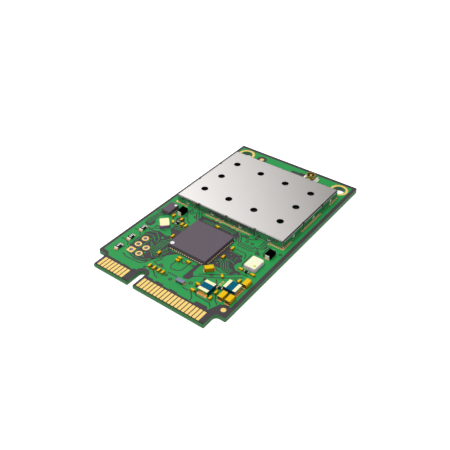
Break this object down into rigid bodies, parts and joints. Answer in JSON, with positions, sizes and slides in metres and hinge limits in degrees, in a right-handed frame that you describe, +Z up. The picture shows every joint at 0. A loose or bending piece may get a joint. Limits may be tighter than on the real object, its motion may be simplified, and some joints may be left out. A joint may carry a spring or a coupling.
{
  "type": "radio mini card",
  "caption": "Green radio card for a mini card slot, with edge contacts, key notch, bolt holes, a folded shield can, chips, coils and a coaxial antenna connector.",
  "frame": {"origin": "middle of the card's footprint, at its underside", "axes": "+X across the card, +Y along it from the edge contacts to the antenna end, +Z up out of the component side"},
  "size_m": [0.03, 0.051, 0.0028],
  "materials": {
    "green_laminate": "glass-fibre laminate under a glossy green mask",
    "gold_plating": "thin gold over nickel and copper, satin",
    "gold_solder": "soldered gold-plated terminals, slightly rough",
    "shield_sheet": "bright tinned sheet with a fine rolled grain",
    "tinned_metal": "tin plating, satin",
    "coil_end_metal": "pale silver fired over ferrite",
    "lid_metal": "plated lid, smooth satin",
    "grey_moulding": "moulded resin with a fine grain",
    "black_moulding": "black moulded resin",
    "package_ceramic": "dark fired ceramic, matt",
    "tan_ceramic": "yellow-tan fired ceramic, matt",
    "blue_ferrite": "blue-coated ferrite, satin",
    "fuse_ceramic": "slate ceramic, matt",
    "lamp_carrier": "pale carrier strip",
    "lamp_resin": "cloudy clear resin",
    "connector_moulding": "dark brown moulding"
  },
  "bodies": {
    "root": {"antenna_connector_base": "connector_moulding", "antenna_connector_pin": "gold_plating", "antenna_connector_shell": "gold_plating", "antenna_filter": "package_ceramic", "baseband_chip": "grey_moulding", "bolt_hole_rings": "gold_plating", "bulk_capacitor_1": "tan_ceramic", "bulk_capacitor_2": "tan_ceramic", "bulk_capacitor_3": "tan_ceramic", "bulk_capacitor_4": "tan_ceramic", "bulk_capacitor_ends": "tinned_metal", "circuit_board": "green_laminate", "clock_capacitors": "tan_ceramic", "clock_capacitors_ends": "tinned_metal", "component_pads": "gold_plating", "crystal_base": "package_ceramic", "crystal_lid": "lid_metal", "edge_contacts_bottom": "gold_plating", "edge_contacts_top": "gold_plating", "fiducial_marks": "gold_plating", "header_hole_plating": "gold_plating", "indicator_bases": "lamp_carrier", "indicator_lenses": "lamp_resin", "indicator_terminals": "tinned_metal", "interface_chip": "grey_moulding", "interface_chip_terminals": "gold_solder", "oscillator_base": "package_ceramic", "oscillator_lid": "lid_metal", "power_amplifier": "grey_moulding", "power_coil_front": "blue_ferrite", "power_coil_front_ends": "coil_end_metal", "power_coil_side": "blue_ferrite", "power_coil_side_ends": "coil_end_metal", "processor_capacitors": "tan_ceramic", "processor_capacitors_ends": "tinned_metal", "processor_chip": "grey_moulding", "processor_terminals": "gold_solder", "radio_chip_1": "grey_moulding", "radio_chip_2": "grey_moulding", "reference_oscillator": "package_ceramic", "resistors": "black_moulding", "resistors_ends": "tinned_metal", "shield_cover": "shield_sheet", "shield_frame": "shield_sheet", "shield_pads": "gold_plating", "shielded_capacitors": "tan_ceramic", "shielded_capacitors_ends": "tinned_metal", "supply_capacitors": "tan_ceramic", "supply_capacitors_ends": "tinned_metal", "supply_fuse": "fuse_ceramic", "supply_fuse_ends": "gold_solder", "voltage_clamp_left": "black_moulding", "voltage_clamp_right": "black_moulding", "voltage_clamp_terminals_left": "tinned_metal", "voltage_clamp_terminals_right": "tinned_metal"}
  },
  "joints": []
}
